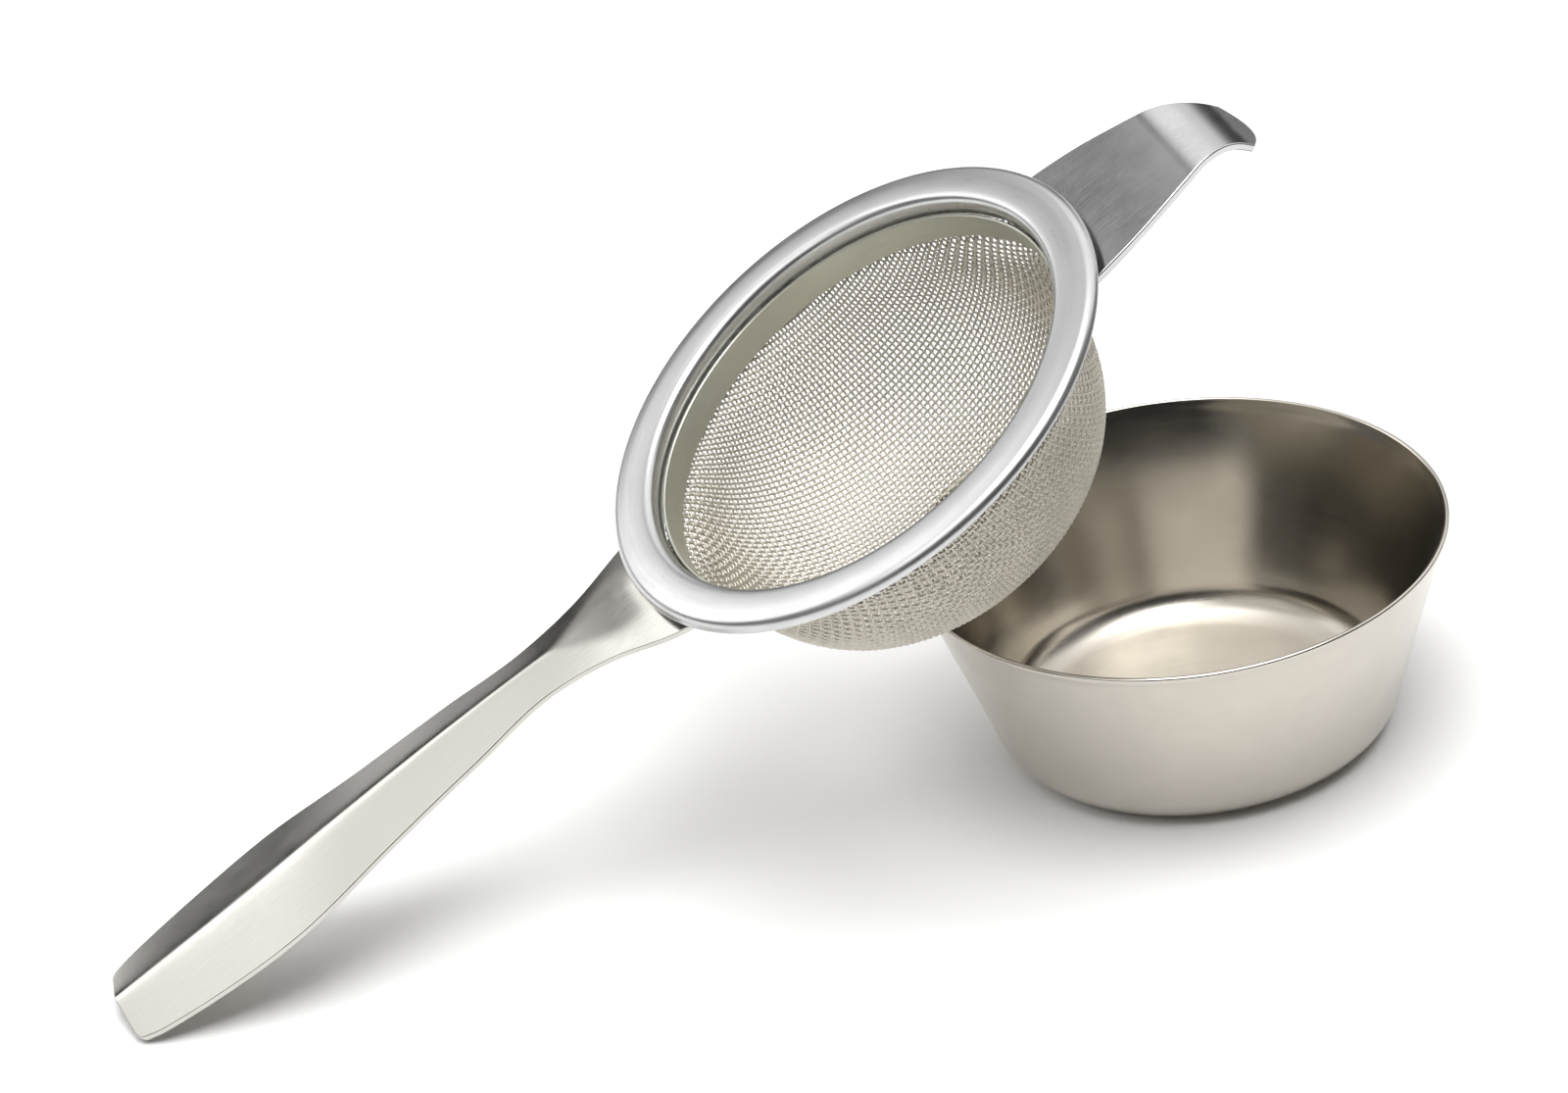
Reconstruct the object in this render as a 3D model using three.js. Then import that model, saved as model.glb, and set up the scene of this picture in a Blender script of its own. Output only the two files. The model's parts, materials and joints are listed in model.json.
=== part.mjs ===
// Two-piece stainless steel tea strainer: a round hand strainer, and the drip bowl that it leans
// on, with its basket against the bowl's rim and the end of its handle on the table.
// Millimetres, +Z up. The origin is the centre of the bowl's flat foot, on the table, and the
// strainer's handle points towards -X.
import * as THREE from 'three';
import { mergeVertices } from 'three/addons/utils/BufferGeometryUtils.js';

// Drip bowl: drawn sheet with a flat foot, a rounded lower corner and a slightly curved wall.
const BOWL_RIM_R = 35;
const BOWL_HEIGHT = 28.65;
const BOWL_SHEET = 0.7;
const BOWL_FOOT_R = 21.2;
const BOWL_CORNER_R = 6;
const BOWL_WALL_START = 17;   // degrees between the wall's foot and the vertical

// How the strainer lies: centre of its rim, lean of its opening and roll about its handle.
const LEAN_CENTRE = new THREE.Vector3(-39.2, 4.35, 59.17);
const LEAN_PITCH = 29.17;
const LEAN_ROLL = 3.6;

// The strainer's parts are drawn upright, with the rim's centre as their origin and its mouth up.

// Rim: a pressed flange with a turned-down lip outside and a short stepped collar inside.
const RIM_R = 36.4;
const RIM_SHEET = 0.7;
const CROWN = 0.9;            // top of the flange above the middle of its lip
const CREST_R = 33.7;         // the flange is a little higher here than at its two edges
const CREST_RISE = 0.12;
const LIP_DROP = 0.65;
const LIP_R = 1.4;
const THROAT_R = 30.2;
const ROLL_R = 1.2;
const STEP_DEPTH = 1.9;
const STEP_FALL = 0.6;        // how far the step slopes down on its way out to the collar
const COLLAR_R = 31.15;
const COLLAR_SHEET = 0.6;
const COLLAR_DEPTH = 3.9;

// Inner band that traps the edge of the wire cloth against the collar.
const RING_R = 29.6;
const RING_SHEET = 0.35;
const RING_TOP = -1.7;
const RING_BOTTOM = -5.9;

// Wire cloth basket: nearly straight walls, a rounded flat bottom and a neck that opens into the
// gap between band and collar.
const CLOTH = 0.6;
const BASKET_R = 29.6;
const BASKET_DEPTH = 29;
const BASKET_SQUARENESS = 2.87;
const BASKET_ROUND_PART = 0.86;   // how much of the rounded profile is used below the wall
const NECK = [[0, -8.2], [0.45, -7.2]];   // [beyond the basket's radius, height]
const NECK_TOP = -6.1;
const BASKET_EDGE_R = 30.85;
const BASKET_TOP = -2.9;

// Handle: one pressed sheet with a shallow roof section. Its end is hollowed to the rim's curve.
// In every list below, the first number is the distance from the rim's centre.
const HANDLE_SHEET = 0.8;
const HANDLE_END_R = 32.05;
const HANDLE_LENGTH = 121;
const HANDLE_HALF_WIDTH = [[28, 13.3], [36, 11.4], [44, 7.3], [52.5, 5.5], [66, 6.9], [80, 8.5],
  [96, 10.7], [108, 10], [118, 8.4], [124, 6.9]];
const HANDLE_EDGE_HEIGHT = [[28, -2.9], [36, -2.75], [44, -1.8], [52, -1.1], [66, -0.7],
  [84, -0.5], [100, -0.2], [124, 1.3]];
const RIDGE_RISE = [[28, 1.3], [52, 1.4], [66, 2], [84, 2.5], [100, 2.5], [124, 2.1]];
const HANDLE_LEVEL = -1.9;    // top of the sheet where it passes under the rim
const RAMP_START = 49;        // the ridge runs down to that level between these two distances
const RAMP_END = 37.5;
const RIDGE_FLAT = 0.1;       // share of the half width that the fold takes
const RAMP_FLAT = 0.8;        // and the most that the ramp's flat may take
const HANDLE_HOLLOW_FADE = 14;
const HANDLE_STEP_BIAS = 0.92;    // a little under 1 puts more of the steps near the rim

// Rest tab: one pressed sheet, flat under the rim and hooked down at its end.
const TAB_SHEET = 1;
const TAB_LEVEL = -2.1;
const TAB_HALF_WIDTH = [[28, 13.9], [34, 13.2], [38, 12.4], [44, 10.7], [49, 9.1], [54, 7.5],
  [60, 6], [64, 5.7]];
const TAB_FLAT_END = 50;
const TAB_BEND_R = 9.5;
const TAB_BEND = 58;
const TAB_TONGUE = 3.2;
const TAB_ROUNDING = 2.2;     // how far the end's corners stand back
const TAB_ROUNDING_START = 0.55;
const TAB_HOLLOW_FADE = 10;

const ROUND_STEPS = 48;

const rad = THREE.MathUtils.degToRad;

function point(r, z) {
  return new THREE.Vector2(r, z);
}

// Points on an arc in the lathe plane, from one angle to the other, both in degrees.
function arc(r, z, radius, from, to, steps) {
  const points = [];
  for (let i = 0; i <= steps; i += 1) {
    const angle = rad(from + (to - from) * i / steps);
    points.push(point(r + radius * Math.cos(angle), z + radius * Math.sin(angle)));
  }
  return points;
}

// A value that runs smoothly through [distance, value] pairs.
function smooth(pairs) {
  const curve = new THREE.CatmullRomCurve3(pairs.map(([x, y]) => new THREE.Vector3(x, y, 0)));
  const track = curve.getPoints(160);
  return (x) => {
    let i = 1;
    while (i < track.length - 1 && track[i].x < x) {
      i += 1;
    }
    const t = (x - track[i - 1].x) / (track[i].x - track[i - 1].x);
    return THREE.MathUtils.lerp(track[i - 1].y, track[i].y, t);
  };
}

function steel(color, roughness) {
  return new THREE.MeshStandardMaterial({ color, roughness, metalness: 1 });
}

function named(name, geometry, material) {
  const mesh = new THREE.Mesh(geometry, material);
  mesh.name = name;
  return mesh;
}

// A body of revolution about Z. The profile runs up its outside and down its inside.
function revolve(profile) {
  const geometry = new THREE.LatheGeometry(profile, ROUND_STEPS);
  geometry.rotateX(Math.PI / 2);
  return geometry;
}

// A pressed sheet: a box whose corners are placed by place(along 0..1, across -1..1, top?).
function sheet(alongSteps, acrossSteps, place) {
  const box = new THREE.BoxGeometry(1, 2, 1, alongSteps, acrossSteps, 1);
  box.deleteAttribute('normal');
  box.deleteAttribute('uv');
  const geometry = mergeVertices(box);
  const position = geometry.getAttribute('position');
  for (let i = 0; i < position.count; i += 1) {
    const spot = place(position.getX(i) + 0.5, position.getY(i), position.getZ(i) > 0);
    position.setXYZ(i, spot.x, spot.y, spot.z);
  }
  geometry.computeVertexNormals();
  return geometry;
}

// How far a sheet's end is cut back at y so that it follows the rim.
function hollow(y) {
  return HANDLE_END_R - Math.sqrt(HANDLE_END_R ** 2 - y ** 2);
}

function dripBowl() {
  const lean = 90 - BOWL_WALL_START;
  const skin = (inset) => {
    const corner = arc(BOWL_FOOT_R, BOWL_CORNER_R, BOWL_CORNER_R - inset, -90, -90 + lean, 5);
    const foot = corner[corner.length - 1];
    const half = (BOWL_HEIGHT - foot.y) / 2;
    const middle = point(foot.x + half * Math.tan(rad(BOWL_WALL_START)), foot.y + half);
    const rim = point(BOWL_RIM_R - inset, BOWL_HEIGHT);
    const wall = new THREE.QuadraticBezierCurve(foot, middle, rim).getPoints(4);
    return [point(0, inset), ...corner, ...wall.slice(1)];
  };
  const profile = [...skin(0), ...skin(BOWL_SHEET).reverse()];
  return named('drip_bowl', revolve(profile), steel(0xc8beb4, 0.32));
}

function rimRing() {
  const lip = point(RIM_R - LIP_R, CROWN - LIP_R);
  const roll = point(THROAT_R + ROLL_R, CROWN - ROLL_R);
  const collar = COLLAR_R + COLLAR_SHEET;
  const outside = [
    point(RIM_R, -LIP_DROP),
    ...arc(lip.x, lip.y, LIP_R, 0, 80, 3),
    point(CREST_R, CROWN + CREST_RISE),
    point((CREST_R + roll.x) / 2, CROWN + CREST_RISE / 2),
    ...arc(roll.x, roll.y, ROLL_R, 90, 180, 5),
    point(THROAT_R, -STEP_DEPTH),
    point(COLLAR_R, -STEP_DEPTH - STEP_FALL),
    point(COLLAR_R, -COLLAR_DEPTH),
  ];
  const inside = [
    point(collar, -COLLAR_DEPTH),
    point(collar, -STEP_DEPTH - STEP_FALL / 2),
    point(THROAT_R + RIM_SHEET, -STEP_DEPTH + STEP_FALL / 2),
    ...arc(roll.x, roll.y, ROLL_R - RIM_SHEET, 180, 90, 3),
    point(CREST_R, CROWN + CREST_RISE - RIM_SHEET),
    ...arc(lip.x, lip.y, LIP_R - RIM_SHEET, 90, 0, 3),
    point(RIM_R - RIM_SHEET, -LIP_DROP),
  ];
  const profile = [...outside, ...inside, outside[0].clone()];
  return named('rim_ring', revolve(profile), steel(0xdde0e6, 0.28));
}

function retainingRing() {
  const outer = RING_R + RING_SHEET;
  const profile = [
    point(outer, RING_BOTTOM),
    point(outer, RING_TOP),
    point(RING_R, RING_TOP),
    point(RING_R, RING_BOTTOM),
    point(outer, RING_BOTTOM),
  ];
  return named('retaining_ring', revolve(profile), steel(0xb4b29c, 0.35));
}

// The rounded bottom's surface at a fraction of its quarter profile, 0 at the bottom's centre.
function basketPoint(fraction, inset) {
  const angle = rad(90 * fraction);
  const power = 2 / BASKET_SQUARENESS;
  const r = (BASKET_R - inset) * Math.sin(angle) ** power;
  const z = -(BASKET_DEPTH - inset) * Math.cos(angle) ** power;
  return point(r, z);
}

function meshBasket() {
  const steps = 9;
  const skin = (inset) => {
    const points = [];
    for (let i = 0; i <= steps; i += 1) {
      points.push(basketPoint(BASKET_ROUND_PART * (i / steps) ** 1.1, inset));
    }
    for (const [beyond, height] of NECK) {
      points.push(point(BASKET_R + beyond - inset, height));
    }
    points.push(point(BASKET_EDGE_R - inset, NECK_TOP));
    points.push(point(BASKET_EDGE_R - inset, BASKET_TOP));
    return points;
  };
  const profile = [...skin(0), ...skin(CLOTH).reverse()];
  return named('mesh_basket', revolve(profile), steel(0xd8cdbf, 0.45));
}

function handle() {
  const halfWidth = smooth(HANDLE_HALF_WIDTH);
  const edge = smooth(HANDLE_EDGE_HEIGHT);
  const rise = smooth(RIDGE_RISE);
  const reach = HANDLE_LENGTH - HANDLE_END_R;
  const place = (along, across, top) => {
    const station = HANDLE_END_R + reach * along ** HANDLE_STEP_BIAS;
    const half = halfWidth(station);
    const ridge = edge(station) + rise(station);
    const ramp = THREE.MathUtils.mapLinear(station, RAMP_START, RAMP_END, ridge, HANDLE_LEVEL);
    const cap = Math.max(Math.min(ridge, ramp), HANDLE_LEVEL);
    const crease = THREE.MathUtils.clamp((ridge - cap) / rise(station), RIDGE_FLAT, RAMP_FLAT);
    const side = Math.abs(across) * 2;
    const share = side < 1 ? side * crease : crease + (side - 1) * (1 - crease);
    const y = Math.sign(across) * share * half;
    const z = ridge - rise(station) * Math.max(share, crease);
    const fade = Math.max(0, 1 - (station - HANDLE_END_R) / HANDLE_HOLLOW_FADE);
    const x = station - hollow(y) * fade;
    return new THREE.Vector3(-x, -y, z - (top ? 0 : HANDLE_SHEET));
  };
  return named('handle', sheet(30, 8, place), steel(0xdcd4ca, 0.3));
}

function restTab() {
  const flat = TAB_FLAT_END - HANDLE_END_R;
  const bend = rad(TAB_BEND) * TAB_BEND_R;
  const length = flat + bend + TAB_TONGUE;
  const halfWidth = smooth(TAB_HALF_WIDTH);
  const place = (along, across, top) => {
    const run = along * length;
    const y = across * halfWidth(HANDLE_END_R + run);
    const corner = THREE.MathUtils.smoothstep(along, TAB_ROUNDING_START, 1);
    const s = run - TAB_ROUNDING * across ** 2 * corner;
    const turn = THREE.MathUtils.clamp((s - flat) / TAB_BEND_R, 0, rad(TAB_BEND));
    const past = Math.max(0, s - flat - bend);
    const radius = TAB_BEND_R - (top ? 0 : TAB_SHEET);
    const x = HANDLE_END_R + Math.min(s, flat) + radius * Math.sin(turn) + past * Math.cos(turn);
    const z = TAB_LEVEL - TAB_BEND_R + radius * Math.cos(turn) - past * Math.sin(turn);
    const fade = Math.max(0, 1 - run / TAB_HOLLOW_FADE);
    return new THREE.Vector3(x - hollow(y) * fade, y, z);
  };
  return named('rest_tab', sheet(18, 6, place), steel(0xb9b8b6, 0.3));
}

const strainer = new THREE.Group();
strainer.add(rimRing(), retainingRing(), meshBasket(), handle(), restTab());
strainer.position.copy(LEAN_CENTRE);
strainer.rotation.set(rad(LEAN_ROLL), -rad(LEAN_PITCH), 0, 'YXZ');

const group = new THREE.Group();
group.add(dripBowl(), strainer);

export default group;
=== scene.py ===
"""Looks for a two-piece steel tea strainer: the strainer leans on its drip bowl and on the table.

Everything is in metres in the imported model's own frame. The strainer's pieces are built in the strainer's own
frame, millimetres first: the origin is the centre of its rim, +Z points out of its mouth, the handle runs
along -X and the rest tab along +X.
"""
import json
import math

import bpy
import numpy as np
from mathutils import Matrix, Vector


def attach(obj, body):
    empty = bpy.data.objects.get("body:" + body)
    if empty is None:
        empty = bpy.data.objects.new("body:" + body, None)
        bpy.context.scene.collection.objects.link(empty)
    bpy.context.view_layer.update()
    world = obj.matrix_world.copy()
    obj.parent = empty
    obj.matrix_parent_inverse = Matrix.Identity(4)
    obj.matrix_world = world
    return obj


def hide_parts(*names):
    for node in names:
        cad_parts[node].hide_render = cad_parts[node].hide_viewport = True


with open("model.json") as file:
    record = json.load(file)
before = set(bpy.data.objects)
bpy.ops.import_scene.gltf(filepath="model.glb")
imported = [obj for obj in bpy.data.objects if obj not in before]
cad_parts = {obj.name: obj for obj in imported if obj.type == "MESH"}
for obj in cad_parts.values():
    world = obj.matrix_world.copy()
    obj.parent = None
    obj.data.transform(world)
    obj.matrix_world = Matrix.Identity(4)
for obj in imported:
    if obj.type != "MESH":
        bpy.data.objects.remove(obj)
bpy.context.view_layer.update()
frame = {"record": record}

MM = 0.001

# Drip bowl.
BOWL_RIM_R = 35.0
BOWL_HEIGHT = 28.65
BOWL_SHEET = 0.7
BOWL_FOOT_R = 21.2
BOWL_CORNER_R = 6.0
BOWL_WALL_START = 17.0      # degrees between the wall's foot and the vertical

# Strainer rim.
RIM_R = 36.4
RIM_SHEET = 0.7
CROWN = 0.9
CREST_R = 33.7
CREST_RISE = 0.1
FLANGE_FALL = 0.14          # how much lower the flange is at its lip than at its roll
LIP_DROP = 0.65
LIP_R = 1.4
THROAT_R = 30.2
ROLL_R = 1.2
COLLAR_R = 31.15
COLLAR_SHEET = 0.6
COLLAR_DEPTH = 3.9
STEP_DEPTH = 1.9
STEP_FALL = 0.6
RIM_EASE = 0.12             # how far the rim's crisp corners are cut back

# Inner band that traps the cloth.
RING_R = 29.6
RING_SHEET = 0.35
RING_TOP = -1.7
RING_BOTTOM = -5.9
RING_EASE = 0.1

# Wire cloth: the middle of its thickness, and its weave.
CLOTH_R = 29.3
CLOTH_DEPTH = 28.7
CLOTH_SQUARENESS = 2.87
CLOTH_EDGE_R = 30.55
CLOTH_TOP = -3.2
WIRE_PITCH = 0.8
WIRE_R = 0.17
WIRE_RISE = 0.14            # how far a wire swings over and under the cloth's middle
WIRE_SIDES = 6
CLOTH_WALL_END = 77.4       # degrees round from the bottom's centre where the pressed wall ends
NECK_RISE = [(0.02, -8.2), (0.4, -7.3), (0.97, -6.5), (1.25, -6.0)]
PLEAT_RISE = 0.2            # how far the gathered wires stand in and out, every other one
PLEAT_BOTTOM = -16.5        # the gathers grow from here up to PLEAT_FULL
PLEAT_FULL = -8.5
PLEAT_END_FADE = 1.2        # and flatten again over this height below the band
# Where the cloth is gathered most: (degrees round from the tab, spread in degrees).
GATHERS = [(12, 40), (205, 44)]
PLEAT_ELSEWHERE = 0.35

# Handle.
HANDLE_SHEET = 0.8
HANDLE_END_R = 32.05
HANDLE_LENGTH = 121.0
HANDLE_LEVEL = -1.9
RAMP_START = 49.0
RAMP_END = 37.5
RIDGE_BLUNT = 0.07          # share of the half width over which the ridge is rounded off
RIDGE_CROWDING = 1.35       # over 1 puts the mesh's columns closer together near the ridge
ROW_CROWDING = 0.95         # under 1 puts the mesh's rows closer together near the tip
RAMP_FOLD = 0.35            # how round the fold is where the roof runs out into the ramp
HANDLE_HOLLOW = 14.0        # the root's curve round the rim dies out over this length
TIP_CORNER = 0.9
TIP_CORNER_START = 0.8      # share of the half width where the tip's corners start
HANDLE_EDGE_EASE = 0.14

# Rest tab.
TAB_SHEET = 1.0
TAB_LEVEL = -2.1
TAB_FLAT_END = 50.0
TAB_BEND_R = 9.5
TAB_BEND = 58.0
TAB_TONGUE = 3.2
TAB_LIFT = 0.2              # the flat part stands this much higher at its root than TAB_LEVEL
TAB_BOW = 0.55              # and has dropped by this much where the bend starts
TAB_HOLLOW = 10.0           # the root's curve round the rim dies out over this length
TAB_TIP_SWEEP = 2.2
TAB_EDGE_EASE = 0.2

# Steel: the depth of its brush lines in metres, how many handling marks there are to the metre, and how much
# rougher the bowl's base is than its wall, out to MATT_R with a soft edge MATT_EDGE wide on each side.
GRAIN_DEPTH = 0.00005
MARK_SCALE = 130.0
MATT_ROUGHER = 0.36
MATT_R = BOWL_FOOT_R + 2.8
MATT_EDGE = 2.0

FLOOR_HALF = 6.0            # metres
FLOOR_WHITE = 0.93

# The studio's walls have one brightness. Each patch on them is ((azimuth to the right of +Y, elevation), inner
# and outer half angle, brightness), laid over the ones before it. The last four are dark cards.
WALLS = 0.14
STUDIO = [
    ((180, 82), 20, 31, 6.0),
    ((-30, 50), 20, 34, 0.7),
    ((-58, 50), 12, 24, 1.0),
    ((50, 48), 22, 36, 1.3),
    ((-108, 56), 14, 26, 1.8),
    ((5, 39), 6, 17, 1.25),
    ((-44, 29), 14, 22, 2.0),
    ((-21, 33), 3, 7, 0.1),
    ((-12, 5), 8, 20, 0.03),
    ((36, 6), 10, 24, 0.03),
    ((180, 10), 30, 50, 0.03),
]

# The record's mount under the rest tab is at this place in the strainer's frame.
TAB_MOUNT = (42.0, 0.0, -3.1)


# ---------------------------------------------------------------- the strainer's place, from the frame

def strainer_matrix():
    """The strainer's frame in the row frame, worked out from the flat mount under its rest tab."""
    mount = next(m for m in frame["record"]["mounts"] if m["name"] == "cup_rest_tab")
    up = -Vector(mount["axis"]).normalized()
    roll = math.asin(-up.y)
    pitch = math.atan2(-up.x, up.z)
    turn = Matrix.Rotation(-pitch, 4, "Y") @ Matrix.Rotation(roll, 4, "X")
    centre = Vector(mount["pos_m"]) - turn.to_3x3() @ (Vector(TAB_MOUNT) * MM)
    return Matrix.Translation(centre) @ turn


STRAINER = strainer_matrix()


# ---------------------------------------------------------------- mesh building

def new_object(name, verts, faces, matrix=None, sharp=40.0):
    """A smooth-shaded mesh object from points in millimetres; edges over `sharp` degrees stay crisp."""
    points = np.asarray(verts, float) * MM
    if matrix is not None:
        turn = np.array(matrix)
        points = points @ turn[:3, :3].T + turn[:3, 3]
    mesh = bpy.data.meshes.new(name)
    mesh.from_pydata(points.tolist(), [], faces)
    mesh.validate()
    mesh.polygons.foreach_set("use_smooth", [True] * len(mesh.polygons))
    mesh.set_sharp_from_angle(angle=math.radians(sharp))
    obj = bpy.data.objects.new(name, mesh)
    bpy.context.scene.collection.objects.link(obj)
    return obj


def arc(r, z, radius, start, end, steps):
    """Points on an arc in the lathe plane, from one angle to the other, in degrees."""
    angles = np.radians(np.linspace(start, end, steps + 1))
    return [(r + radius * math.cos(a), z + radius * math.sin(a)) for a in angles]


def lathe(name, profile, matrix=None, steps=192, closed=True, sharp=40.0):
    """A body of revolution about Z. A profile that isn't closed starts and ends on the axis."""
    verts = []
    rings = []
    for r, z in profile:
        if r < 1e-6:
            rings.append([len(verts)])
            verts.append((0, 0, z))
        else:
            rings.append(list(range(len(verts), len(verts) + steps)))
            for k in range(steps):
                a = 2 * math.pi * k / steps
                verts.append((r * math.cos(a), r * math.sin(a), z))
    pairs = list(zip(rings[:-1], rings[1:]))
    if closed:
        pairs.append((rings[-1], rings[0]))
    faces = []
    for low, high in pairs:
        for k in range(steps):
            n = (k + 1) % steps
            if len(low) == 1:
                faces.append((low[0], high[n], high[k]))
            elif len(high) == 1:
                faces.append((low[k], low[n], high[0]))
            else:
                faces.append((low[k], low[n], high[n], high[k]))
    return new_object(name, verts, faces, matrix, sharp)


def smooth_value(pairs):
    """A smooth curve through (distance from the rim's centre, value) pairs, as a function."""
    xs = np.array([p[0] for p in pairs], float)
    ys = np.array([p[1] for p in pairs], float)
    slopes = np.gradient(ys, xs)

    def value(x):
        i = int(np.clip(np.searchsorted(xs, x) - 1, 0, len(xs) - 2))
        width = xs[i + 1] - xs[i]
        t = (x - xs[i]) / width
        a = (1 + 2 * t) * (1 - t) ** 2
        b = t * (1 - t) ** 2 * width
        c = t * t * (3 - 2 * t)
        d = t * t * (t - 1) * width
        return a * ys[i] + b * slopes[i] + c * ys[i + 1] + d * slopes[i + 1]
    return value


def smoothstep(x, low, high):
    t = min(max((x - low) / (high - low), 0.0), 1.0)
    return t * t * (3 - 2 * t)


def soft_min(a, b, width):
    """The smaller of two heights, with a rounded fold of that width where they meet."""
    h = max(width - abs(a - b), 0.0) / width
    return min(a, b) - h * h * width / 4


def sheet(name, along, across, place, bevel, matrix):
    """A pressed sheet: place(u 0..1, v -1..1, top?) gives its two faces, and its cut edge is eased."""
    verts = []
    for top in (True, False):
        for i in range(along + 1):
            for j in range(across + 1):
                verts.append(place(i / along, 2 * j / across - 1, top))
    row = across + 1
    under = row * (along + 1)
    faces = []
    for i in range(along):
        for j in range(across):
            a = i * row + j
            faces.append((a, a + row, a + row + 1, a + 1))
            faces.append((under + a, under + a + 1, under + a + row + 1, under + a + row))
    for i in range(along):
        for j, flip in ((0, False), (across, True)):
            a, b = i * row + j, (i + 1) * row + j
            faces.append((a, under + a, under + b, b) if not flip else (b, under + b, under + a, a))
    for j in range(across):
        for i, flip in ((0, True), (along, False)):
            a, b = i * row + j, i * row + j + 1
            faces.append((a, under + a, under + b, b) if not flip else (b, under + b, under + a, a))
    obj = new_object(name, verts, faces, matrix, sharp=50.0)
    ease = obj.modifiers.new("eased_edge", "BEVEL")
    ease.width = bevel * MM
    ease.segments = 3
    ease.limit_method = "ANGLE"
    ease.angle_limit = math.radians(50)
    return obj


# ---------------------------------------------------------------- materials

def node(tree, kind, **settings):
    made = tree.nodes.new(kind)
    for key, value in settings.items():
        if key in made.inputs:
            made.inputs[key].default_value = value
        else:
            setattr(made, key, value)
    return made


def link(tree, source, target):
    tree.links.new(source, target)


def ramp(tree, source, low, high, to_low, to_high):
    made = node(tree, "ShaderNodeMapRange")
    made.inputs["From Min"].default_value = low
    made.inputs["From Max"].default_value = high
    made.inputs["To Min"].default_value = to_low
    made.inputs["To Max"].default_value = to_high
    link(tree, source, made.inputs["Value"])
    return made.outputs["Result"]


def piece_place(tree, matrix):
    """Where a point of the surface is in its piece's own frame, in metres."""
    place = node(tree, "ShaderNodeTexCoord").outputs["Object"]
    if matrix is None:
        return place
    undo = node(tree, "ShaderNodeMapping", vector_type="TEXTURE")
    undo.inputs["Location"].default_value = matrix.to_translation()
    undo.inputs["Rotation"].default_value = matrix.to_euler("XYZ")
    link(tree, place, undo.inputs["Vector"])
    return undo.outputs["Vector"]


def off_axis(tree, place):
    """A point's direction vector away from the Z axis, and its length."""
    flat = node(tree, "ShaderNodeVectorMath", operation="MULTIPLY")
    flat.inputs[1].default_value = (1, 1, 0)
    link(tree, place, flat.inputs[0])
    length = node(tree, "ShaderNodeVectorMath", operation="LENGTH")
    link(tree, flat.outputs["Vector"], length.inputs[0])
    return flat.outputs["Vector"], length.outputs["Value"]


def round_coordinates(tree, matrix, around, across):
    """Coordinates that change slowly around Z and fast along the profile, for spun or turned grain."""
    place = piece_place(tree, matrix)
    flat, length = off_axis(tree, place)
    direction = node(tree, "ShaderNodeVectorMath", operation="NORMALIZE")
    link(tree, flat, direction.inputs[0])
    slow = node(tree, "ShaderNodeVectorMath", operation="SCALE")
    slow.inputs["Scale"].default_value = around
    link(tree, direction.outputs["Vector"], slow.inputs[0])
    parts = node(tree, "ShaderNodeSeparateXYZ")
    link(tree, place, parts.inputs["Vector"])
    profile = node(tree, "ShaderNodeMath", operation="MULTIPLY_ADD")
    profile.inputs[1].default_value = 1.3
    link(tree, parts.outputs["Z"], profile.inputs[0])
    link(tree, length, profile.inputs[2])
    fast = node(tree, "ShaderNodeMath", operation="MULTIPLY")
    fast.inputs[1].default_value = across
    link(tree, profile.outputs["Value"], fast.inputs[0])
    lift = node(tree, "ShaderNodeCombineXYZ")
    link(tree, fast.outputs["Value"], lift.inputs["Z"])
    total = node(tree, "ShaderNodeVectorMath", operation="ADD")
    link(tree, slow.outputs["Vector"], total.inputs[0])
    link(tree, lift.outputs["Vector"], total.inputs[1])
    return total.outputs["Vector"]


def straight_coordinates(tree, matrix, scale):
    place = piece_place(tree, matrix)
    mapping = node(tree, "ShaderNodeMapping")
    mapping.inputs["Scale"].default_value = scale
    link(tree, place, mapping.inputs["Vector"])
    return mapping.outputs["Vector"]


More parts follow.
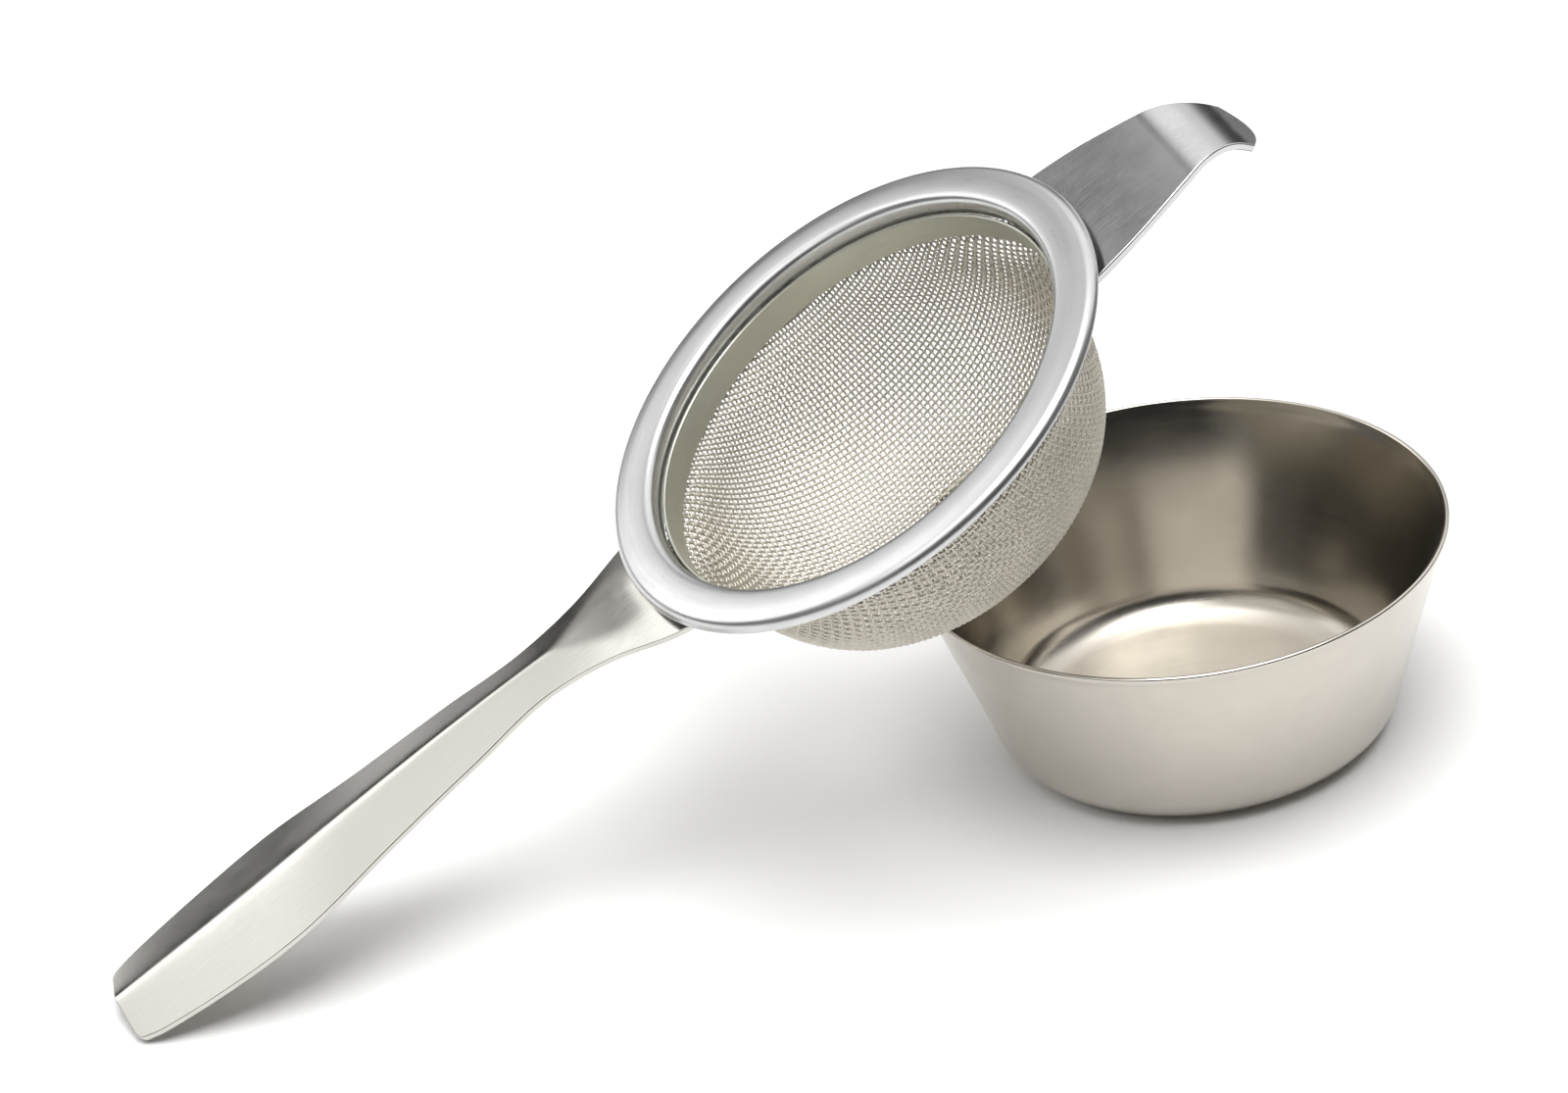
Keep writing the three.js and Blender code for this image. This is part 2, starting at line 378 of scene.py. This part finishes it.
def steel(name, color, rough, grain, bump=0.1, spread=0.06, shade=0.12, matt_r=None):
    """Satin steel. grain(tree) gives where its fine brush lines run. Within matt_r of Z it is duller."""
    material = bpy.data.materials.new(name)
    material.use_nodes = True
    tree = material.node_tree
    shader = tree.nodes["Principled BSDF"]
    shader.inputs["Metallic"].default_value = 1.0
    lines = node(tree, "ShaderNodeTexNoise", Scale=1.0, Detail=5.0, Roughness=0.6)
    link(tree, grain(tree), lines.inputs["Vector"])
    clouds = node(tree, "ShaderNodeTexNoise", Scale=MARK_SCALE, Detail=4.0, Roughness=0.65)
    link(tree, node(tree, "ShaderNodeTexCoord").outputs["Object"], clouds.inputs["Vector"])
    # Handling marks make soft patches that are a little rougher and darker than the rest.
    both = node(tree, "ShaderNodeMath", operation="MULTIPLY_ADD")
    both.inputs[1].default_value = 0.5
    link(tree, clouds.outputs["Fac"], both.inputs[0])
    half = node(tree, "ShaderNodeMath", operation="MULTIPLY")
    half.inputs[1].default_value = 0.5
    link(tree, lines.outputs["Fac"], half.inputs[0])
    link(tree, half.outputs["Value"], both.inputs[2])
    amount = both.outputs["Value"]
    roughness = ramp(tree, amount, 0.3, 0.7, rough - spread, rough + spread)
    if matt_r:
        length = off_axis(tree, piece_place(tree, None))[1]
        start, end = (matt_r - MATT_EDGE) * MM, (matt_r + MATT_EDGE) * MM
        extra = node(tree, "ShaderNodeMath", operation="ADD")
        link(tree, ramp(tree, length, start, end, MATT_ROUGHER, 0.0), extra.inputs[0])
        link(tree, roughness, extra.inputs[1])
        roughness = extra.outputs["Value"]
    link(tree, roughness, shader.inputs["Roughness"])
    tint = node(tree, "ShaderNodeMix", data_type="RGBA")
    tint.inputs["A"].default_value = (*[c * (1 + shade / 2) for c in color], 1)
    tint.inputs["B"].default_value = (*[c * (1 - shade / 2) for c in color], 1)
    link(tree, ramp(tree, amount, 0.3, 0.7, 0.0, 1.0), tint.inputs["Factor"])
    link(tree, tint.outputs["Result"], shader.inputs["Base Color"])
    relief = node(tree, "ShaderNodeBump", Strength=bump, Distance=GRAIN_DEPTH)
    link(tree, lines.outputs["Fac"], relief.inputs["Height"])
    link(tree, relief.outputs["Normal"], shader.inputs["Normal"])
    return material


def make_materials():
    def spun(tree):
        return round_coordinates(tree, None, 1.5, 9000)

    def pressed(tree):
        return round_coordinates(tree, STRAINER, 4.0, 2500)

    def brushed(tree):
        return straight_coordinates(tree, STRAINER, (220, 5200, 5200))
    return {
        "bowl": steel("bowl_steel", (0.60, 0.565, 0.505), 0.18, spun, bump=0.06, matt_r=MATT_R),
        "rim": steel("rim_steel", (0.60, 0.605, 0.60), 0.30, pressed, bump=0.05),
        "ring": steel("ring_steel", (0.61, 0.62, 0.55), 0.38, pressed, bump=0.05),
        "handle": steel("handle_steel", (0.60, 0.585, 0.545), 0.22, brushed, bump=0.10),
        "tab": steel("tab_steel", (0.58, 0.585, 0.58), 0.20, brushed, bump=0.10),
        "wire": steel("wire_steel", (0.64, 0.61, 0.54), 0.55, brushed, bump=0.0, shade=0.25),
    }


# ---------------------------------------------------------------- the pieces

def make_bowl(material):
    lean = 90 - BOWL_WALL_START

    def skin(inset):
        corner = arc(BOWL_FOOT_R, BOWL_CORNER_R, BOWL_CORNER_R - inset, -90, -90 + lean, 20)
        foot = corner[-1]
        half = (BOWL_HEIGHT - foot[1]) / 2
        middle = (foot[0] + half * math.tan(math.radians(BOWL_WALL_START)), foot[1] + half)
        rim = (BOWL_RIM_R - inset, BOWL_HEIGHT)
        wall = []
        for t in np.linspace(0, 1, 25)[1:]:
            wall.append(tuple((1 - t) ** 2 * foot[k] + 2 * t * (1 - t) * middle[k] + t * t * rim[k]
                              for k in (0, 1)))
        floor = [(r, inset) for r in np.linspace(0, BOWL_FOOT_R, 6)[:-1]]
        return floor + corner + wall
    outside = skin(0.0)
    inside = skin(BOWL_SHEET)
    edge = BOWL_SHEET / 2
    outside[-1] = (BOWL_RIM_R, BOWL_HEIGHT - edge)
    inside[-1] = (BOWL_RIM_R - BOWL_SHEET, BOWL_HEIGHT - edge)
    lip = arc(BOWL_RIM_R - edge, BOWL_HEIGHT - edge, edge, 0, 180, 8)[1:-1]
    obj = lathe("bowl_shell", outside + lip + inside[::-1], closed=False, steps=224)
    obj.data.materials.append(material)
    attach(obj, "drip_bowl")
    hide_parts("drip_bowl")
    return obj


def strainer_piece(obj, material, node_name):
    obj.data.materials.append(material)
    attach(obj, "strainer")
    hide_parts(node_name)
    return obj


def make_rim(material):
    ease = RIM_EASE
    lip = (RIM_R - LIP_R, CROWN - FLANGE_FALL - LIP_R)
    roll = (THROAT_R + ROLL_R, CROWN - ROLL_R)
    outer = COLLAR_R + COLLAR_SHEET

    def crest(height):
        """The flange's gentle crown, from its lip in to its roll."""
        rs = np.linspace(lip[0] - 0.3, roll[0] + 0.3, 9)
        fall = FLANGE_FALL * (rs - roll[0]) / (lip[0] - roll[0])
        outer_share = (rs - CREST_R) / (lip[0] - CREST_R)
        inner_share = (CREST_R - rs) / (CREST_R - roll[0])
        share = np.where(rs > CREST_R, outer_share, inner_share)
        return [(r, height - f + CREST_RISE * (1 - k * k)) for r, f, k in zip(rs, fall, share)]
    outside = [
        (RIM_R - ease, -LIP_DROP),
        (RIM_R, -LIP_DROP + ease),
        *arc(*lip, LIP_R, 0, 84, 16),
        *crest(CROWN),
        *arc(*roll, ROLL_R, 96, 180, 16),
        (THROAT_R, -STEP_DEPTH + ease),
        (THROAT_R + ease, -STEP_DEPTH - 0.5 * ease),
        (COLLAR_R - ease, -STEP_DEPTH - STEP_FALL + 0.5 * ease),
        (COLLAR_R, -STEP_DEPTH - STEP_FALL - ease),
        (COLLAR_R, -COLLAR_DEPTH + ease),
        (COLLAR_R + ease, -COLLAR_DEPTH),
    ]
    inside = [
        (outer - ease, -COLLAR_DEPTH),
        (outer, -COLLAR_DEPTH + ease),
        (outer, -STEP_DEPTH - STEP_FALL / 2),
        (outer - ease, -STEP_DEPTH - STEP_FALL / 2 + ease),
        (THROAT_R + RIM_SHEET, -STEP_DEPTH + STEP_FALL / 2),
        *arc(*roll, ROLL_R - RIM_SHEET, 180, 96, 8),
        *crest(CROWN - RIM_SHEET)[::-1],
        *arc(*lip, LIP_R - RIM_SHEET, 84, 0, 10),
        (RIM_R - RIM_SHEET, -LIP_DROP + ease),
        (RIM_R - RIM_SHEET + ease, -LIP_DROP),
    ]
    obj = lathe("rim_flange", outside + inside, STRAINER, steps=256)
    return strainer_piece(obj, material, "rim_ring")


def make_ring(material):
    outer = RING_R + RING_SHEET
    ease = RING_EASE
    profile = [
        (outer, RING_BOTTOM + ease), (outer, RING_TOP - ease), (outer - ease, RING_TOP),
        (RING_R + ease, RING_TOP), (RING_R, RING_TOP - ease), (RING_R, RING_BOTTOM + ease),
        (RING_R + ease, RING_BOTTOM), (outer - ease, RING_BOTTOM),
    ]
    obj = lathe("cloth_band", profile, STRAINER, steps=256)
    return strainer_piece(obj, material, "retaining_ring")


def make_handle(material):
    half_width = smooth_value([(28, 13.3), (36, 11.4), (44, 7.3), (52.5, 5.5), (66, 6.9), (80, 8.5),
                               (96, 10.7), (108, 10.0), (118, 8.4), (124, 6.9)])
    edge = smooth_value([(28, -2.9), (36, -2.75), (44, -1.8), (52, -1.1), (66, -0.7), (84, -0.5),
                         (100, -0.2), (124, 1.3)])
    rise = smooth_value([(28, 1.3), (52, 1.4), (66, 2.0), (84, 2.5), (100, 2.5), (124, 2.1)])

    def place(along, across, top):
        station = HANDLE_END_R + (HANDLE_LENGTH - HANDLE_END_R) * along ** ROW_CROWDING
        half = half_width(station)
        share = math.copysign(abs(across) ** RIDGE_CROWDING, across)
        y = share * half
        lift = rise(station)
        ridge = edge(station) + lift
        fold = math.hypot(share, RIDGE_BLUNT) - RIDGE_BLUNT
        roof = ridge - lift * fold / (math.hypot(1, RIDGE_BLUNT) - RIDGE_BLUNT)
        ramp_height = ridge + (HANDLE_LEVEL - ridge) * (station - RAMP_START) / (RAMP_END - RAMP_START)
        ramp_height = max(ramp_height, HANDLE_LEVEL) if station > RAMP_END else HANDLE_LEVEL
        z = soft_min(roof, ramp_height, RAMP_FOLD)
        hollow = HANDLE_END_R - math.sqrt(HANDLE_END_R ** 2 - y ** 2)
        x = station - hollow * max(0.0, 1 - (station - HANDLE_END_R) / HANDLE_HOLLOW)
        # The tip's cut end is very slightly rounded at its two corners.
        corner = max(0.0, abs(share) - TIP_CORNER_START) / (1 - TIP_CORNER_START)
        x -= TIP_CORNER * corner ** 2 * smoothstep(along, 0.96, 1.0)
        return (-x, y, z - (0.0 if top else HANDLE_SHEET))
    obj = sheet("handle_blade", 150, 36, place, HANDLE_EDGE_EASE, STRAINER)
    return strainer_piece(obj, material, "handle")


def make_tab(material):
    flat = TAB_FLAT_END - HANDLE_END_R
    bend = math.radians(TAB_BEND) * TAB_BEND_R
    length = flat + bend + TAB_TONGUE
    half_width = smooth_value([(28, 13.9), (34, 13.2), (38, 12.4), (44, 10.7), (49, 9.1), (54, 7.5),
                               (60, 6.0), (64, 5.7)])

    def place(along, across, top):
        run = along * length
        y = across * half_width(HANDLE_END_R + run)
        s = run - TAB_TIP_SWEEP * across ** 2 * smoothstep(along, 0.55, 1.0)
        # The flat part is bowed very slightly, more so towards the hook.
        dip = TAB_BOW * max(0.0, min(s, flat) / flat) ** 2
        turn = min(max((s - flat) / TAB_BEND_R, 0.0), math.radians(TAB_BEND))
        past = max(0.0, s - flat - bend)
        radius = TAB_BEND_R - (0.0 if top else TAB_SHEET)
        x = HANDLE_END_R + min(s, flat) + radius * math.sin(turn) + past * math.cos(turn)
        z = TAB_LEVEL - TAB_BEND_R + radius * math.cos(turn) - past * math.sin(turn) - dip + TAB_LIFT
        hollow = HANDLE_END_R - math.sqrt(HANDLE_END_R ** 2 - y ** 2)
        x -= hollow * max(0.0, 1 - run / TAB_HOLLOW)
        return (x, y, z)
    obj = sheet("rest_hook", 72, 24, place, TAB_EDGE_EASE, STRAINER)
    return strainer_piece(obj, material, "rest_tab")


# ---------------------------------------------------------------- wire cloth

def cloth_profile():
    """(arc length, r, z) along the cloth's middle surface from its bottom's centre to its trapped edge."""
    angle = np.radians(np.linspace(0, CLOTH_WALL_END, 400))
    power = 2 / CLOTH_SQUARENESS
    r = CLOTH_R * np.sin(angle) ** power
    z = -CLOTH_DEPTH * np.cos(angle) ** power
    # Above the straight wall the cloth opens out into the gap between the band and the collar.
    r = np.append(r, [CLOTH_R + rise for rise, height in NECK_RISE] + [CLOTH_EDGE_R])
    z = np.append(z, [height for rise, height in NECK_RISE] + [CLOTH_TOP])
    s = np.append(0, np.cumsum(np.hypot(np.diff(r), np.diff(z))))
    return s, r, z


PROFILE_S, PROFILE_R, PROFILE_Z = cloth_profile()
CLOTH_REACH = PROFILE_S[-1]


def pleat_amount(angle, z):
    """How strongly the cloth is gathered: near its trapped edge, towards the handle and the tab."""
    def near(centre, width):
        away = (angle - math.radians(centre) + math.pi) % (2 * math.pi) - math.pi
        return np.exp(-(away / math.radians(width)) ** 2)
    ends = sum(near(centre, width) for centre, width in GATHERS) + PLEAT_ELSEWHERE
    height = np.clip((z - PLEAT_BOTTOM) / (PLEAT_FULL - PLEAT_BOTTOM), 0, 1)
    return ends * height ** 1.3 * np.clip((RING_BOTTOM - z) / PLEAT_END_FADE, 0.2, 1)


def on_cloth(flat_x, flat_y, lift):
    """Points of the pressed cloth for points of the flat cloth, raised off its middle by `lift`."""
    reach = np.hypot(flat_x, flat_y)
    safe = np.maximum(reach, 1e-9)
    r = np.interp(reach, PROFILE_S, PROFILE_R)
    z = np.interp(reach, PROFILE_S, PROFILE_Z)
    step = 0.6
    dr = np.interp(reach + step, PROFILE_S, PROFILE_R) - np.interp(reach - step, PROFILE_S, PROFILE_R)
    dz = np.interp(reach + step, PROFILE_S, PROFILE_Z) - np.interp(reach - step, PROFILE_S, PROFILE_Z)
    size = np.hypot(dr, dz)
    inward_r, inward_z = -dz / size, dr / size
    angle = np.arctan2(flat_y, flat_x)
    pleat = PLEAT_RISE * pleat_amount(angle, z) * np.cos(math.pi * flat_y / WIRE_PITCH)
    lift = lift + pleat
    r = r + inward_r * lift
    normal = np.stack([inward_r * flat_x / safe, inward_r * flat_y / safe, inward_z], -1)
    points = np.stack([r * flat_x / safe, r * flat_y / safe, z + inward_z * lift], -1)
    return points, normal


def wire(points, normals):
    """Vertices and side faces of one round wire along points; make_cloth closes its ends."""
    tangents = np.gradient(points, axis=0)
    tangents /= np.linalg.norm(tangents, axis=1, keepdims=True)
    side = np.cross(tangents, normals)
    side /= np.linalg.norm(side, axis=1, keepdims=True)
    up = np.cross(side, tangents)
    turn = 2 * np.pi * np.arange(WIRE_SIDES) / WIRE_SIDES
    ring = np.cos(turn)[None, :, None] * side[:, None] + np.sin(turn)[None, :, None] * up[:, None]
    verts = (points[:, None] + WIRE_R * ring).reshape(-1, 3)
    count = len(points)
    i = np.arange(count - 1)[:, None] * WIRE_SIDES
    k = np.arange(WIRE_SIDES)[None]
    n = (k + 1) % WIRE_SIDES
    quads = np.stack([i + k, i + n, i + n + WIRE_SIDES, i + k + WIRE_SIDES], -1).reshape(-1, 4)
    return verts, quads


def make_cloth(material):
    """Plain woven cloth: two sets of wires, each in two halves, that pass over and under each other."""
    count = int(CLOTH_REACH / WIRE_PITCH)
    first = None
    for name, along_x in (("warp_wires", True), ("weft_wires", False)):
        for half, indices in (("_a", range(-count, 0)), ("_b", range(0, count + 1))):
            verts, faces, base = [], [], 0
            for index in indices:
                across = index * WIRE_PITCH
                chord = math.sqrt(CLOTH_REACH ** 2 - across ** 2)
                if chord < 2 * WIRE_PITCH:
                    continue
                steps = max(4, int(round(2 * chord / (WIRE_PITCH / 2))))
                run = np.linspace(-chord, chord, steps + 1)
                phase = math.pi * (run / WIRE_PITCH + index)
                lift = WIRE_RISE * np.cos(phase) * (1 if along_x else -1)
                fixed = np.full_like(run, across)
                flat = (run, fixed) if along_x else (fixed, run)
                points, normals = on_cloth(*flat, lift)
                v, q = wire(points, normals)
                verts.append(v)
                faces += (q + base).tolist()
                last = base + len(v) - WIRE_SIDES
                faces.append(tuple(range(base + WIRE_SIDES - 1, base - 1, -1)))
                faces.append(tuple(range(last, last + WIRE_SIDES)))
                base += len(v)
            obj = new_object(name + half, np.concatenate(verts), faces, STRAINER, sharp=80.0)
            obj.data.materials.append(material)
            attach(obj, "strainer")
            first = first or obj
    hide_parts("mesh_basket")


# ---------------------------------------------------------------- stage, light and camera

def make_stage():
    mesh = bpy.data.meshes.new("floor")
    corners = [(x * FLOOR_HALF, y * FLOOR_HALF, 0) for x, y in ((-1, -1), (1, -1), (1, 1), (-1, 1))]
    mesh.from_pydata(corners, [], [(0, 1, 2, 3)])
    floor = bpy.data.objects.new("floor", mesh)
    bpy.context.scene.collection.objects.link(floor)
    # A tenth of a millimetre lower than the bowl's foot, so that the two don't share a plane.
    floor.location.z = -0.1 * MM
    material = bpy.data.materials.new("floor")
    material.use_nodes = True
    shader = material.node_tree.nodes["Principled BSDF"]
    shader.inputs["Base Color"].default_value = (FLOOR_WHITE, FLOOR_WHITE, FLOOR_WHITE, 1)
    shader.inputs["Roughness"].default_value = 0.6
    shader.inputs["Specular IOR Level"].default_value = 0.2
    mesh.materials.append(material)


def make_world():
    """A soft studio: a bright ceiling panel, paler panels round it and dark cards, over dim walls."""
    world = bpy.data.worlds.new("studio")
    bpy.context.scene.world = world
    world.use_nodes = True
    tree = world.node_tree
    background = tree.nodes["Background"]
    direction = node(tree, "ShaderNodeTexCoord").outputs["Generated"]
    total = None
    for (azimuth, height), inner, outer, value in STUDIO:
        aim = Vector((math.sin(math.radians(azimuth)) * math.cos(math.radians(height)),
                      math.cos(math.radians(azimuth)) * math.cos(math.radians(height)),
                      math.sin(math.radians(height))))
        along = node(tree, "ShaderNodeVectorMath", operation="DOT_PRODUCT")
        along.inputs[1].default_value = aim
        link(tree, direction, along.inputs[0])
        patch = node(tree, "ShaderNodeMapRange", interpolation_type="SMOOTHSTEP")
        patch.inputs["From Min"].default_value = math.cos(math.radians(outer))
        patch.inputs["From Max"].default_value = math.cos(math.radians(inner))
        patch.inputs["To Max"].default_value = 1.0
        link(tree, along.outputs["Value"], patch.inputs["Value"])
        mix = node(tree, "ShaderNodeMix", data_type="FLOAT")
        mix.inputs["B"].default_value = value
        link(tree, patch.outputs["Result"], mix.inputs["Factor"])
        if total is None:
            mix.inputs["A"].default_value = WALLS
        else:
            link(tree, total, mix.inputs["A"])
        total = mix.outputs["Result"]
    link(tree, total, background.inputs["Color"])
    background.inputs["Strength"].default_value = 1.0


def make_camera():
    """A long lens that looks down on the table, rolled a little."""
    data = bpy.data.cameras.new("camera")
    data.sensor_width = 36.0
    data.lens = 120.0
    camera = bpy.data.objects.new("camera", data)
    bpy.context.scene.collection.objects.link(camera)
    location = Vector((-175.9, -554.1, 376.3)) * MM
    heading, dip, roll = (math.radians(a) for a in (12.635, 30.425, -9.439))
    ahead = Vector((math.sin(heading) * math.cos(dip), math.cos(heading) * math.cos(dip), -math.sin(dip)))
    right = ahead.cross(Vector((0, 0, 1))).normalized()
    up = right.cross(ahead)
    turned_right = right * math.cos(roll) + up * math.sin(roll)
    turned_up = up * math.cos(roll) - right * math.sin(roll)
    matrix = Matrix((turned_right, turned_up, -ahead)).transposed().to_4x4()
    matrix.translation = location
    camera.matrix_world = matrix
    bpy.context.scene.camera = camera


make_camera()
make_stage()
make_world()
bpy.context.scene.view_settings.view_transform = "Standard"

steels = make_materials()
make_bowl(steels["bowl"])
make_rim(steels["rim"])
make_ring(steels["ring"])
make_handle(steels["handle"])
make_tab(steels["tab"])
make_cloth(steels["wire"])
